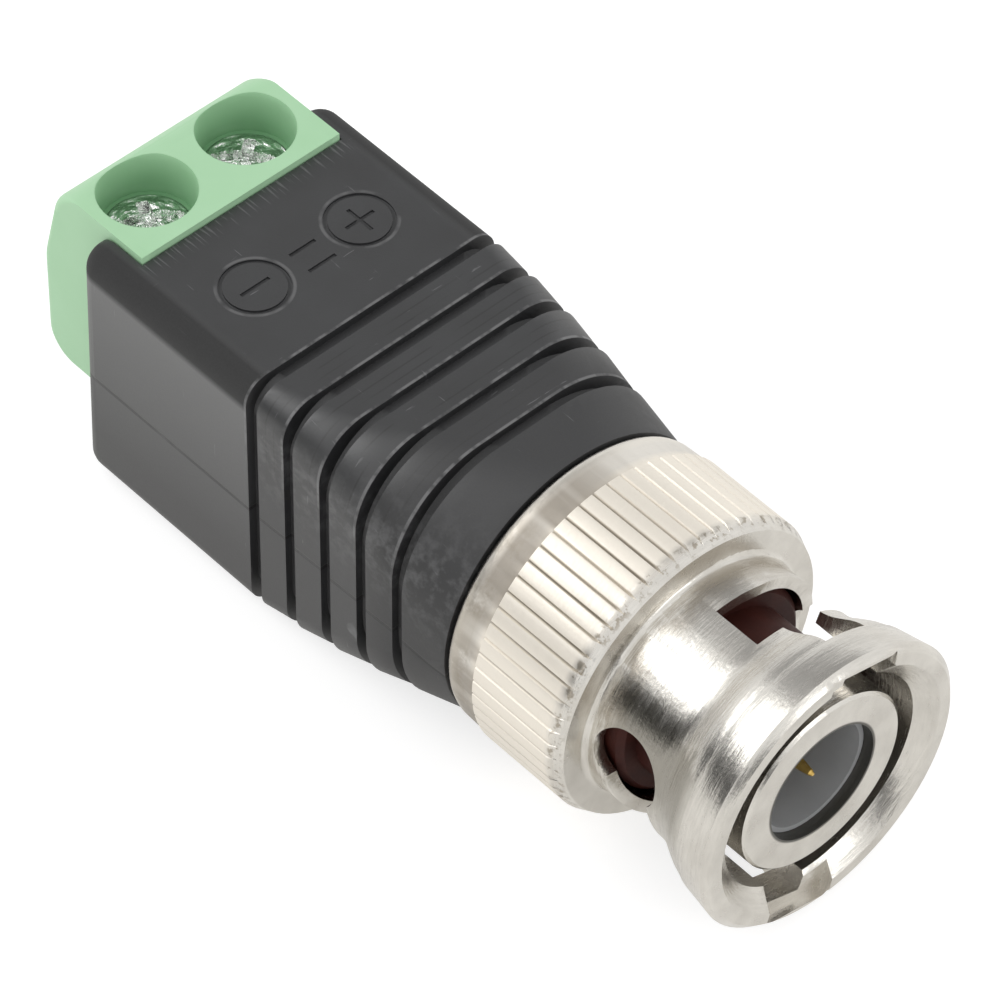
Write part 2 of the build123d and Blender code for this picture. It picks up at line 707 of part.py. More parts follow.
# Shell before it is parted: box, ribs and cone outside, and the rooms for block, leads and body inside
with BuildPart() as shell:
    with BuildSketch(Plane.YZ.offset(shell_rear - rear_lean)):
        with Locations((0, (shell_top + shell_bottom) / 2)):
            RectangleRounded(shell_width, shell_top - shell_bottom, shell_corner)
    extrude(amount=box_length + rear_lean)
    # The back leans outwards towards the bottom
    split(bisect_by=Plane((shell_rear, 0, shell_top), z_dir=(shell_top - shell_bottom, 0, -rear_lean)), keep=Keep.TOP)
    fillet(shell.faces().sort_by(Axis.X)[0].edges(), shell_rear_round)
    add(shell_outline(box_front - rib_groove_width, rib_groove_depth))
    add(shell_outline(cone_rear + 2 * rib_groove_width, rib_groove_depth))
    loft()
    for rib in range(rib_count):
        land_rear = box_front + rib * rib_step + rib_groove_width
        land_front = box_front + (rib + 1) * rib_step
        add(shell_outline(land_rear))
        add(shell_outline(land_front, rib_edge / 2))
        loft()
    add(shell_outline(cone_rear + rib_groove_width))
    add(shell_outline(shell_front))
    loft()
    # Room for the leads behind the ribs, and the tunnel for them through the ribs
    room_side = shell_width / 2 - shell_wall
    with BuildSketch(Plane.YZ.offset(shell_rear + shell_wall)):
        with Locations((0, (shell_top + shell_bottom) / 2)):
            Rectangle(2 * room_side, shell_top - shell_bottom - 2 * shell_wall)
    extrude(amount=tunnel_rear - shell_rear - shell_wall, mode=Mode.SUBTRACT)
    with BuildSketch(Plane.YZ.offset(tunnel_rear)):
        Circle(wire_tunnel_radius)
    extrude(amount=plate_rear - tunnel_rear, mode=Mode.SUBTRACT)
    # Seat for the body: tail, flats and neck
    with BuildSketch(Plane.YZ.offset(plate_rear)):
        Circle(tail_radius + slide_gap)
    extrude(amount=rear_plate, mode=Mode.SUBTRACT)
    with BuildSketch(Plane.YZ.offset(grip_rear - face_gap)):
        Circle(grip_radius + slide_gap)
        Rectangle(4 * grip_radius, grip_flats + 2 * slide_gap, mode=Mode.INTERSECT)
    extrude(amount=grip_length + 2 * face_gap, mode=Mode.SUBTRACT)
    with BuildSketch(Plane.YZ.offset(grip_front)):
        Circle(neck_radius + slide_gap)
    extrude(amount=shell_front - grip_front, mode=Mode.SUBTRACT)
    # Posts that carry the pegs between the two halves
    post_y = room_side + post_sink - post_radius
    post_rear_x = tunnel_rear - post_radius - post_rear_gap
    posts = [(post_rear_x - row * post_spacing, side * post_y) for row in (0, 1) for side in (-1, 1)]
    with BuildSketch(Plane.XY.offset(shell_bottom + shell_wall)):
        with Locations(*posts):
            Circle(post_radius)
    extrude(amount=shell_top - shell_bottom - 2 * shell_wall)
    # Pocket for the terminal block, open to the back and to the top
    with BuildSketch(Plane.XY.offset(block_bottom - pocket_gap)):
        with Locations((block_front + pocket_gap, 0)):
            Rectangle(2 * block_seat, block_width + 2 * pocket_gap, align=(Align.MAX, Align.CENTER))
    extrude(amount=shell_top - block_bottom + pocket_gap + cutter_margin, mode=Mode.SUBTRACT)
    with BuildSketch(Plane.XY.offset(block_bottom - pocket_gap)):
        with Locations((block_nose + pocket_gap, 0)):
            Rectangle(2 * block_seat, block_width + 2 * pocket_gap, align=(Align.MAX, Align.CENTER))
    extrude(amount=block_top - block_step_height - block_bottom + 2 * pocket_gap, mode=Mode.SUBTRACT)

with BuildPart() as shell_upper:
    add(shell.part)
    split(bisect_by=Plane.XY.offset(seam_height), keep=Keep.TOP)
    with BuildSketch(Plane.XY.offset(seam_height)):
        with Locations(*posts):
            Circle(peg_radius + slide_gap)
    extrude(amount=peg_height + face_gap, mode=Mode.SUBTRACT)
shell_upper.part.label = "shell_upper"
export_step(shell_upper.part, "parts/shell_upper.step")

with BuildPart() as shell_lower:
    add(shell.part)
    split(bisect_by=Plane.XY.offset(seam_height), keep=Keep.BOTTOM)
    with BuildSketch(Plane.XY.offset(seam_height)):
        with Locations(*posts):
            Circle(peg_radius)
    extrude(amount=peg_height)
shell_lower.part.label = "shell_lower"
export_step(shell_lower.part, "parts/shell_lower.step")
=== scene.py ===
import json
import math

import bmesh
import bpy
import numpy as np
from mathutils import Matrix, Vector


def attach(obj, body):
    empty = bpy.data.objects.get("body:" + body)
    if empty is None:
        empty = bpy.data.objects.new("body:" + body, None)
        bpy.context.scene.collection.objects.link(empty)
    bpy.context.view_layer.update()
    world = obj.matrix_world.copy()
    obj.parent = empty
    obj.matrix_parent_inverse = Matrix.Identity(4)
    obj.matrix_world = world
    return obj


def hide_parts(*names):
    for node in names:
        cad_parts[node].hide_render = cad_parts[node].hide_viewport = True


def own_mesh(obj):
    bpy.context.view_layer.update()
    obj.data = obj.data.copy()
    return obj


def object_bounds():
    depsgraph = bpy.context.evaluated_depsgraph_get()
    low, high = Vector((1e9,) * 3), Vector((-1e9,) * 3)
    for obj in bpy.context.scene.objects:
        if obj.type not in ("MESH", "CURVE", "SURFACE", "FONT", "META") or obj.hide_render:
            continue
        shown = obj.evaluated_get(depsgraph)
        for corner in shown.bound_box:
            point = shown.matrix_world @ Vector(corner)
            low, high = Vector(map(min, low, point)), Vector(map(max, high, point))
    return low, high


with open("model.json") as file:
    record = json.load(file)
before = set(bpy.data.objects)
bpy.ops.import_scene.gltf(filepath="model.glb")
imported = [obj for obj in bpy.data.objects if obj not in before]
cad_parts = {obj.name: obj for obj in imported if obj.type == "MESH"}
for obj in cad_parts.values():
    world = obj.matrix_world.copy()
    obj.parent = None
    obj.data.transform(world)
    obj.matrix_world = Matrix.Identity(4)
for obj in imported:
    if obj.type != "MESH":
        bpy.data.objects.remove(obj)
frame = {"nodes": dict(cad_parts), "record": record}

# BNC plug with a screw terminal block on its back: looks, light and camera.
# Blender's units are metres. The part's values and the camera's place are in millimetres, while the lamps,
# the cards, the floor and the camera's near and far limits are in metres.
# X runs along the plug towards its mouth, and Z up out of the screws.

mm = 0.001
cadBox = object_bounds()
nodes = frame["nodes"]
print("frame loaded:", len(nodes), "nodes")

# Camera
cameraSet = {
    "azimuth": -43.011,
    "elevation": 48.315,
    "roll": 0.735,
    "focalPixels": 6388.0,
    "framePixels": 1000,
    "place": (101.44, -111.19, 184.01),
    "sensor": 36.0,
    "near": 0.01,
    "far": 20,
}


def placeCamera(values):
    # back = (cos e cos a, cos e sin a, sin e), right is level, and both axes then roll about back
    azimuth = math.radians(values["azimuth"])
    elevation = math.radians(values["elevation"])
    roll = math.radians(values["roll"])
    back = np.array([
        math.cos(elevation) * math.cos(azimuth),
        math.cos(elevation) * math.sin(azimuth),
        math.sin(elevation),
    ])
    level = np.array([-math.sin(azimuth), math.cos(azimuth), 0.0])
    upright = np.cross(back, level)
    right = math.cos(roll) * level + math.sin(roll) * upright
    up = -math.sin(roll) * level + math.cos(roll) * upright
    lens = bpy.data.cameras.new("camera")
    lens.sensor_width = values["sensor"]
    lens.lens = values["focalPixels"] / values["framePixels"] * values["sensor"]
    lens.clip_start = values["near"]
    lens.clip_end = values["far"]
    camera = bpy.data.objects.new("camera", lens)
    bpy.context.scene.collection.objects.link(camera)
    axes = np.column_stack([right, up, back])
    place = np.array(values["place"]) * mm
    camera.matrix_world = Matrix([[*axes[row], place[row]] for row in range(3)] + [[0, 0, 0, 1]])
    bpy.context.scene.camera = camera


placeCamera(cameraSet)
bpy.context.scene.view_settings.view_transform = "Standard"
print("camera placed")


# Shader maths. An edge is a pair of values: its place and the half width of its ramp.

class Wire:
    # An output socket that adds Math nodes when it meets +, -, *, /, ** or abs().
    def __init__(self, shade, socket):
        self.shade = shade
        self.socket = socket

    def math(self, operation, *values):
        return self.shade.add("ShaderNodeMath", {"operation": operation}, dict(enumerate(values)))

    def __add__(self, other):
        return self.math("ADD", self, other)

    def __radd__(self, other):
        return self.math("ADD", other, self)

    def __sub__(self, other):
        return self.math("SUBTRACT", self, other)

    def __rsub__(self, other):
        return self.math("SUBTRACT", other, self)

    def __mul__(self, other):
        return self.math("MULTIPLY", self, other)

    def __rmul__(self, other):
        return self.math("MULTIPLY", other, self)

    def __truediv__(self, other):
        return self.math("DIVIDE", self, other)

    def __pow__(self, other):
        return self.math("POWER", self, other)

    def __abs__(self):
        return self.math("ABSOLUTE", self)

    def fraction(self):
        return self.math("FRACT", self)

    def most(self, other):
        return self.math("MAXIMUM", self, other)

    def least(self, other):
        return self.math("MINIMUM", self, other)

    def above(self, edge, soft):
        # 0 below edge - soft, 1 above edge + soft, and a straight ramp between
        return self.shade.add(
            "ShaderNodeMapRange",
            {"clamp": True},
            {"Value": self, "From Min": edge - soft, "From Max": edge + soft},
        )

    def below(self, edge, soft):
        return 1 - self.above(edge, soft)

    def between(self, low, high):
        return self.above(*low) * self.below(*high)

    def near(self, middle, edge):
        # 1 where the squared distance from the middle lies below the edge
        return ((self - middle) ** 2.0).below(*edge)


class Nodes:
    # A node tree, to which one method adds every node.
    def __init__(self, tree):
        self.tree = tree

    def add(self, kind, settings, sockets, out=0):
        node = self.tree.nodes.new(kind)
        for key, value in settings.items():
            setattr(node, key, value)
        for key, value in sockets.items():
            self.feed(node.inputs[key], value)
        return Wire(self, node.outputs[out])

    def feed(self, target, value):
        if isinstance(value, Wire):
            self.tree.links.new(value.socket, target)
        else:
            target.default_value = value

    def rays(self, kind):
        return self.add("ShaderNodeLightPath", {}, {}, f"Is {kind} Ray")

    def seenRays(self):
        # 1 for the rays that show a thing to the camera, to a mirror or through glass
        return self.rays("Camera").most(self.rays("Glossy")).most(self.rays("Transmission"))


class Shade(Nodes):
    # One material and its node tree, with the object's own coordinates in millimetres.
    def __init__(self, name):
        self.material = bpy.data.materials.new(name)
        self.material.use_nodes = True
        super().__init__(self.material.node_tree)
        self.surface = self.tree.nodes["Principled BSDF"]
        coordinates = self.add("ShaderNodeTexCoord", {}, {}, "Object")
        self.place = self.add(
            "ShaderNodeVectorMath",
            {"operation": "SCALE"},
            {0: coordinates, "Scale": 1 / mm},
        )
        self.x, self.y, self.z = [
            self.add("ShaderNodeSeparateXYZ", {}, {0: self.place}, axis) for axis in ("X", "Y", "Z")
        ]

    def set(self, **values):
        for key, value in values.items():
            self.feed(self.surface.inputs[key.replace("_", " ")], value)

    def stretch(self, x, y, z):
        return self.add("ShaderNodeMapping", {}, {"Vector": self.place, "Scale": (x, y, z)})

    def noise(self, place, scale, detail=2.0, rough=0.5):
        return self.add(
            "ShaderNodeTexNoise",
            {},
            {"Vector": place, "Scale": scale, "Detail": detail, "Roughness": rough},
            "Fac",
        )

    def mix(self, share, first, second):
        # a Mix node's colours are its sockets 6 and 7, and the colour that it gives is its output 2
        return self.add("ShaderNodeMix", {"data_type": "RGBA"}, {0: share, 6: first, 7: second}, 2)

    def bump(self, height, strength, distance):
        normal = self.add(
            "ShaderNodeBump",
            {},
            {"Height": height, "Strength": strength, "Distance": distance * mm},
        )
        self.feed(self.surface.inputs["Normal"], normal)

    def radius(self):
        # distance from the plug's axis
        return (self.y * self.y + self.z * self.z) ** 0.5


def colour(red, green, blue):
    return (red, green, blue, 1.0)


# Nickel plate on the nut and the body. A noise is its scale, its detail and, where given, its roughness.
nickelSet = {
    "bright": colour(0.76, 0.735, 0.685),
    "dull": colour(0.60, 0.575, 0.53),
    "lineStretch": (9.0, 0.9, 0.9),
    "lineNoise": (1.0, 4.0, 0.6),
    "cloudNoise": (0.55, 3.0),
    "spotNoise": (5.5, 2.0),
    "cloudShare": 0.7,
    "lineShare": 0.5,
    "dullEdge": (0.62, 0.22),
    "roughness": 0.15,
    "lineRoughness": 0.16,
    "spotRoughness": 0.04,
    "spotBump": 0.3,
    "bump": (0.7, 0.024),
}


def plating(name, values):
    # the even plate, with the layers that its marks are made of
    shade = Shade(name)
    lines = shade.noise(shade.stretch(*values["lineStretch"]), *values["lineNoise"])
    clouds = shade.noise(shade.place, *values["cloudNoise"])
    spots = shade.noise(shade.place, *values["spotNoise"])
    dull = (clouds * values["cloudShare"] + lines * values["lineShare"]).above(*values["dullEdge"])
    tone = shade.mix(dull, values["bright"], values["dull"])
    rough = values["roughness"] + lines * values["lineRoughness"] + spots * values["spotRoughness"]
    shade.bump(lines + spots * values["spotBump"], *values["bump"])
    return shade, lines, clouds, spots, tone, rough


# The knurl's band, paler and duller than the barrel, with painted shade in its grooves that fades out over
# the lit top
bandSet = {
    "tone": colour(0.93, 0.87, 0.77),
    "cream": colour(0.80, 0.765, 0.70),
    # colour of the painted shade in the knurl's grooves
    "groove": colour(0.34, 0.30, 0.25),
    "rear": (-13.2, 0.3),
    "front": (-7.75, 0.25),
    "radius": (5.4, 0.10),
    "creamFront": (-12.2, 0.15),
    "grooveRadius": (6.70, 0.03),
    "grooveSide": (0.6, 1.6),
    "grooveStretch": (0.05, 0.9, 0.9),
    "grooveNoise": (1.0, 2.0),
    "grooveEdge": (0.40, 0.14),
    "grooveShare": 0.9,
    "coat": 0.55,
    "rearCoat": 0.3,
    "rearCoatFront": (-12.0, 0.1),
    "roughness": 0.20,
}
# Dirt on the nut: a smear behind the knurl, specks along its front edge, and the corner before the barrel
nutDirt = colour(0.30, 0.255, 0.19)
smearSet = {
    "rear": (-13.6, 0.2),
    "front": (-12.3, 0.3),
    "side": (-3.0, 1.5),
    "spotShare": 0.4,
    "edge": (0.70, 0.08),
    "share": 0.45,
}
speckSet = {
    "rear": (-7.78, 0.06),
    "front": (-7.30, 0.15),
    "radius": (6.2, 0.05),
    "noise": (2.2, 3.0, 0.7),
    "edge": (0.57, 0.04),
    "share": 0.7,
}
shoulderSet = {
    "rear": (-6.9, 0.25),
    "front": (-5.9, 0.5),
    "radius": (6.0, 0.25),
    "lineShare": 0.4,
    "edge": (0.68, 0.10),
    "share": 0.6,
}
# A painted dark reflection streak low on the near side of the barrel and the flange
reflectionStreakSet = {
    "tone": colour(0.235, 0.220, 0.185),
    "stretch": (2.6, 0.5, 0.5),
    "noise": (1.0, 4.0, 0.7),
    "ragged": 2.2,
    "low": (0.6, 1.2),
    "high": (4.5, 0.25),
    "side": (-2.5, 0.8),
    "rear": (-6.2, 0.3),
    "front": (-1.5, 0.4),
    "radius": (5.0, 0.1),
    "share": 0.75,
}


def knurlBand(shade, tone, values):
    band = shade.x.between(values["rear"], values["front"]) * shade.radius().above(*values["radius"])
    tone = shade.mix(band, tone, values["tone"])
    tone = shade.mix(shade.x.below(*values["creamFront"]) * band, tone, values["cream"])
    # painted shade in the knurl's grooves, broken up by noise and fading out towards the lit top
    deep = band * shade.radius().below(*values["grooveRadius"]) * shade.y.below(*values["grooveSide"])
    turns = shade.noise(shade.stretch(*values["grooveStretch"]), *values["grooveNoise"])
    grooveShade = deep * turns.above(*values["grooveEdge"]) * values["grooveShare"]
    return band, shade.mix(grooveShade, tone, values["groove"])


def knurlSmear(shade, clouds, spots, values):
    where = shade.x.between(values["rear"], values["front"]) * shade.y.below(*values["side"])
    return where * (clouds + spots * values["spotShare"]).above(*values["edge"]) * values["share"]


def knurlSpecks(shade, values):
    where = shade.x.between(values["rear"], values["front"]) * shade.radius().above(*values["radius"])
    return where * shade.noise(shade.place, *values["noise"]).above(*values["edge"]) * values["share"]


def paintedBarrelReflection(shade, values):
    # a ragged band of painted dark reflection along the barrel and the flange, low on the near side
    ragged = shade.noise(shade.stretch(*values["stretch"]), *values["noise"])
    height = shade.z + ragged * values["ragged"]
    streak = height.between(values["low"], values["high"]) * shade.y.below(*values["side"])
    streak = streak * shade.x.between(values["rear"], values["front"])
    return streak * shade.radius().above(*values["radius"]) * values["share"]


def shoulderDirt(shade, clouds, lines, values):
    where = shade.x.between(values["rear"], values["front"]) * shade.radius().below(*values["radius"])
    return where * (clouds + lines * values["lineShare"]).above(*values["edge"]) * values["share"]


def nutPlate(name):
    shade, lines, clouds, spots, tone, rough = plating(name, nickelSet)
    band, tone = knurlBand(shade, tone, bandSet)
    tone = shade.mix(knurlSmear(shade, clouds, spots, smearSet), tone, nutDirt)
    tone = shade.mix(knurlSpecks(shade, speckSet), tone, nutDirt)
    # painted dark reflection along the barrel and the flange
    tone = shade.mix(paintedBarrelReflection(shade, reflectionStreakSet), tone, reflectionStreakSet["tone"])
    tone = shade.mix(shoulderDirt(shade, clouds, lines, shoulderSet), tone, nutDirt)
    rearCoat = shade.x.below(*bandSet["rearCoatFront"]) * bandSet["rearCoat"]
    metal = 1 - band * (bandSet["coat"] + rearCoat)
    shade.set(Base_Color=tone, Metallic=metal, Roughness=rough + band * bandSet["roughness"])
    return shade.material


# The inside of the outer contact, painted darker as shade, and duller
boreShadeSet = {
    "tone": colour(0.05, 0.05, 0.045),
    "radius": (2.75, 0.04),
    "share": 0.85,
    "roughness": 0.2,
}


def bodyPlate(name):
    shade, lines, clouds, spots, tone, rough = plating(name, nickelSet)
    inner = shade.radius().below(*boreShadeSet["radius"])
    # painted shade inside the contact's bore
    tone = shade.mix(inner * boreShadeSet["share"], tone, boreShadeSet["tone"])
    shade.set(Base_Color=tone, Metallic=1.0, Roughness=rough + inner * boreShadeSet["roughness"])
    return shade.material


# Black shell
shellSet = {
    "base": colour(0.014, 0.014, 0.015),
    "pale": colour(0.022, 0.023, 0.025),
    "cloudNoise": (0.4, 3.0),
    "grainNoise": (13.0, 3.0, 0.6),
    "paleEdge": (0.5, 0.3),
    "roughness": 0.36,
    "grainRoughness": 0.12,
    "cloudRoughness": 0.06,
    "gloss": 1.52,
    "bump": (0.3, 0.012),
    "boxFront": (-25.12, 0.1),
    "top": (5.9, 0.05),
}
# Scratches across the shell and nicks along it, in patches
scratchSet = {
    "tone": colour(0.15, 0.15, 0.155),
    "acrossStretch": (0.35, 7.0, 0.5),
    "acrossEdge": (0.72, 0.012),
    "alongStretch": (6.0, 0.6, 0.6),
    "alongEdge": (0.74, 0.012),
    "noise": (1.0, 2.0),
    "patchNoise": (0.9, 2.0),
    "patchEdge": (0.54, 0.06),
    "share": 0.6,
    "bump": -1.5,
}
# A painted sheen on the sides of the box, which fades downwards
sideSheenSet = {
    "tone": colour(0.105, 0.106, 0.107),
    "sideSquared": (38.0, 3.0),
    "height": (0.5, 4.5),
}
# The cone, painted darker than the box as shade, and duller
coneSet = {
    "tone": colour(0.007, 0.007, 0.008),
    "rear": (-18.5, 0.5),
    "share": 0.8,
    "dullRear": (-18.0, 1.0),
    "roughness": 0.15,
}
# Painted shade on the box's rounded upper edges, darker and duller than what they part
roundShadeSet = {
    "tone": colour(0.004, 0.004, 0.004),
    "side": (5.35, 0.2),
    "height": (4.75, 0.2),
    "share": 0.9,
    "roughness": 0.40,
}
# Painted highlights on the front edges of the box and the ribs, and fine dark lines along the ribs, on the
# top only.
# The highlighted edges and the lines are places within a rib's step.
ribSet = {
    "first": -25.12,
    "step": 2.08,
    "front": (-16.65, 0.05),
    "height": (2.4, 1.0),
    "paintedGlint": colour(0.15, 0.15, 0.152),
    "paintedGlintRear": (1.95, 0.02),
    "paintedGlintFront": (2.065, 0.005),
    "paintedGlintFrom": (-25.42, 0.05),
    "paintedGlintStretch": (0.4, 1.1, 1.1),
    "paintedGlintNoise": (1.0, 3.0, 0.65),
    "paintedGlintEdge": (0.47, 0.08),
    "paintedGlintShare": 0.8,
    "line": colour(0.002, 0.002, 0.002),
    "lines": (1.12, 1.56),
    "lineSquared": (0.0012, 0.0008),
    "lineFrom": (-25.12, 0.02),
    "lineStretch": (2.0, 0.35, 0.35),
    "lineNoise": (1.0, 2.0),
    "lineEdge": (0.48, 0.06),
    "lineShare": 0.8,
}
# Painted highlights on the rims round the two ringed signs, which mirror each other across the middle
signRimSet = {
    "middle": (-28.875, 0.05),
    "apart": 2.69,
    "radius": 1.54,
    "squared": (0.004, 0.003),
    "noise": (0.8, 2.0),
    "edge": (0.46, 0.08),
    "share": 0.7,
}
# Short fine scratches along X on the top, just in front of the block
hatchSet = {
    "stretch": (0.5, 9.0, 0.5),
    "noise": (1.0, 1.0),
    "edge": (0.60, 0.03),
    "front": (-32.05, 0.3),
    "sideSquared": (27.0, 2.0),
    "share": 0.5,
    "bump": -2.0,
}
# Rub marks where the ribs turn from the top to the sides
rubSet = {
    "rear": (-24.6, 0.3),
    "low": (1.2, 1.6),
    "high": (4.6, 1.0),
    "noise": (1.7, 3.0, 0.65),
    "edge": (0.55, 0.10),
    "share": 0.35,
}
# A fine groove along the seam of the two halves
seamSet = {
    "tone": colour(0.002, 0.002, 0.002),
    "height": -0.9,
    "squared": (0.008, 0.003),
    "stretch": (0.5, 0.5, 0.5),
    "noise": (1.0, 2.0),
    "edge": (0.36, 0.1),
    "share": 0.9,
    "bump": -8.0,
}


def shellScratches(shade, values):
    across = shade.noise(shade.stretch(*values["acrossStretch"]), *values["noise"])
    along = shade.noise(shade.stretch(*values["alongStretch"]), *values["noise"])
    patches = shade.noise(shade.place, *values["patchNoise"]).above(*values["patchEdge"])
    return (across.above(*values["acrossEdge"]) + along.above(*values["alongEdge"])).least(1.0) * patches


def ribMarks(shade, values):
    part = ((shade.x - values["first"]) / values["step"]).fraction() * values["step"]
    over = shade.z.above(*values["height"])
    # painted highlights along the front edges, on the top only
    paintedGlint = part.between(values["paintedGlintRear"], values["paintedGlintFront"]) * over
    paintedGlint = paintedGlint * shade.x.between(values["paintedGlintFrom"], values["front"])
    broken = shade.noise(shade.stretch(*values["paintedGlintStretch"]), *values["paintedGlintNoise"])
    paintedGlint = paintedGlint * broken.above(*values["paintedGlintEdge"])
    near, far = values["lines"]
    lines = part.near(near, values["lineSquared"]) + part.near(far, values["lineSquared"])
    lines = lines * over * shade.x.between(values["lineFrom"], values["front"])
    broken = shade.noise(shade.stretch(*values["lineStretch"]), *values["lineNoise"])
    return paintedGlint, lines * broken.above(*values["lineEdge"])


def signRims(shade, top, values):
    x, y = values["middle"]
    away = ((shade.x - x) ** 2.0 + (abs(shade.y - y) - values["apart"]) ** 2.0) ** 0.5
    # painted highlights round the engraved rings
    rims = away.near(values["radius"], values["squared"]) * shade.z.above(*top)
    return rims * shade.noise(shade.place, *values["noise"]).above(*values["edge"]) * values["share"]


def blockHatch(shade, top, values):
    hatch = shade.noise(shade.stretch(*values["stretch"]), *values["noise"]).above(*values["edge"])
    hatch = hatch * shade.x.below(*values["front"]) * shade.z.above(*top)
    return hatch * (shade.y * shade.y).below(*values["sideSquared"])


def blackMoulding(name, values):
    shade = Shade(name)
    clouds = shade.noise(shade.place, *values["cloudNoise"])
    grain = shade.noise(shade.place, *values["grainNoise"])
    box = shade.x.below(*values["boxFront"])
    tone = shade.mix(clouds.above(*values["paleEdge"]), values["base"], values["pale"])
    # painted sheen on the box's sides, fading downwards
    side = (shade.y * shade.y).above(*sideSheenSet["sideSquared"]) * box
    tone = shade.mix(side * shade.z.above(*sideSheenSet["height"]), tone, sideSheenSet["tone"])
    # painted shade on the cone
    tone = shade.mix(shade.x.above(*coneSet["rear"]) * coneSet["share"], tone, coneSet["tone"])
    scratches = shellScratches(shade, scratchSet)
    tone = shade.mix(scratches * scratchSet["share"], tone, scratchSet["tone"])
    turned = abs(shade.y).above(*roundShadeSet["side"]) * shade.z.above(*roundShadeSet["height"]) * box
    # painted shade along the box's rounded upper edges
    tone = shade.mix(turned * roundShadeSet["share"], tone, roundShadeSet["tone"])
    paintedGlint, lines = ribMarks(shade, ribSet)
    tone = shade.mix(lines * ribSet["lineShare"], tone, ribSet["line"])
    # painted highlights on the rib edges and round the signs
    paintedGlint = paintedGlint.most(signRims(shade, values["top"], signRimSet)) * ribSet["paintedGlintShare"]
    tone = shade.mix(paintedGlint, tone, ribSet["paintedGlint"])
    hatch = blockHatch(shade, values["top"], hatchSet)
    tone = shade.mix(hatch * hatchSet["share"], tone, scratchSet["tone"])
    turn = shade.x.above(*rubSet["rear"]) * shade.z.between(rubSet["low"], rubSet["high"])
    rubbed = turn * shade.noise(shade.place, *rubSet["noise"]).above(*rubSet["edge"])
    tone = shade.mix(rubbed * rubSet["share"], tone, scratchSet["tone"])
    seam = shade.z.near(seamSet["height"], seamSet["squared"])
    broken = shade.noise(shade.stretch(*seamSet["stretch"]), *seamSet["noise"]).above(*seamSet["edge"])
    tone = shade.mix(seam * broken * seamSet["share"], tone, seamSet["tone"])
    rough = values["roughness"] + grain * values["grainRoughness"] + clouds * values["cloudRoughness"]
    rough = rough + shade.x.above(*coneSet["dullRear"]) * coneSet["roughness"]
    rough = rough + turned * roundShadeSet["roughness"]
    shade.set(Base_Color=tone, Roughness=rough, Specular_IOR_Level=1.0, IOR=values["gloss"])
    height = grain + scratches * scratchSet["bump"] + hatch * hatchSet["bump"] + seam * seamSet["bump"]
    shade.bump(height, *values["bump"])
    return shade.material


# Green terminal block, with painted shade in the recesses of its screws, deeper downwards
blockSet = {
    "base": colour(0.445, 0.715, 0.455),
    "deep": colour(0.410, 0.685, 0.420),
    "cloudNoise": (0.5, 2.0),
    "deepEdge": (0.5, 0.35),
    "grainNoise": (9.0, 3.0, 0.55),
    "roughness": 0.36,
    "grainRoughness": 0.12,
    "bump": (0.12, 0.012),
    "well": colour(0.13, 0.33, 0.15),
    "wellPlace": (-35.40, 2.54),
    "wellSquared": (4.35, 0.05),
    "wellHeight": (5.6, 0.9),
    "wellShare": 0.6,
}


def greenMoulding(name, values):
    shade = Shade(name)
    clouds = shade.noise(shade.place, *values["cloudNoise"])
    grain = shade.noise(shade.place, *values["grainNoise"])
    tone = shade.mix(clouds.above(*values["deepEdge"]), values["base"], values["deep"])
    x, y = values["wellPlace"]
    away = (shade.x - x) ** 2.0 + (abs(shade.y) - y) ** 2.0
    # painted shade in the screw recesses, deeper downwards
    well = away.below(*values["wellSquared"]) * shade.z.below(*values["wellHeight"])
    tone = shade.mix(well * values["wellShare"], tone, values["well"])
    shade.set(Base_Color=tone, Roughness=values["roughness"] + grain * values["grainRoughness"])
    shade.bump(grain, *values["bump"])
    return shade.material


# Plain plastics: the insulators and the seal
plasticSet = {
    "cloudNoise": (0.9, 3.0),
    "deepEdge": (0.5, 0.3),
    "grain": (3.0, 0.55),
    "grainRoughness": 0.14,
    "bump": (0.15, 0.010),
}
insulatorSet = {
    "base": colour(0.37, 0.375, 0.38),
    "deep": colour(0.32, 0.325, 0.33),
    "roughness": 0.42,
    "shine": 0.5,
    "grainScale": 8.0,
}
sealSet = {
    "base": colour(0.066, 0.014, 0.009),
    "deep": colour(0.033, 0.007, 0.005),
    "roughness": 0.50,
    "shine": 0.2,
    "grainScale": 5.0,
}


def plainPlastic(name, values):
    shade = Shade(name)
    clouds = shade.noise(shade.place, *plasticSet["cloudNoise"])
    grain = shade.noise(shade.place, values["grainScale"], *plasticSet["grain"])
    shade.set(
        Base_Color=shade.mix(clouds.above(*plasticSet["deepEdge"]), values["base"], values["deep"]),
        Roughness=values["roughness"] + grain * plasticSet["grainRoughness"],
        Specular_IOR_Level=values["shine"],
    )
    shade.bump(grain, *plasticSet["bump"])
    return shade.material


# Plain metals, with streaks along the way that each was worked
metalSet = {
    "streakNoise": (1.0, 3.0, 0.6),
    "spotNoise": (3.5, 3.0, 0.6),
    "half": 0.5,
    "deepEdge": (0.5, 0.2),
    "streakRoughness": 0.14,
    "spotRoughness": 0.06,
    "spotBump": 0.6,
    "bump": (0.25, 0.012),
}
goldSet = {
    "base": colour(0.78, 0.55, 0.17),
    "deep": colour(0.62, 0.40, 0.10),
    "roughness": 0.22,
    "stretch": (9.0, 1.0, 1.0),
}
cageSet = {
    "base": colour(0.74, 0.73, 0.70),
    "deep": colour(0.56, 0.55, 0.52),
    "roughness": 0.27,
    "stretch": (1.0, 1.0, 6.0),
}
tinSet = {
    "base": colour(0.72, 0.72, 0.70),
    "deep": colour(0.55, 0.55, 0.54),
    "roughness": 0.33,
    "stretch": (6.0, 1.2, 1.2),
}
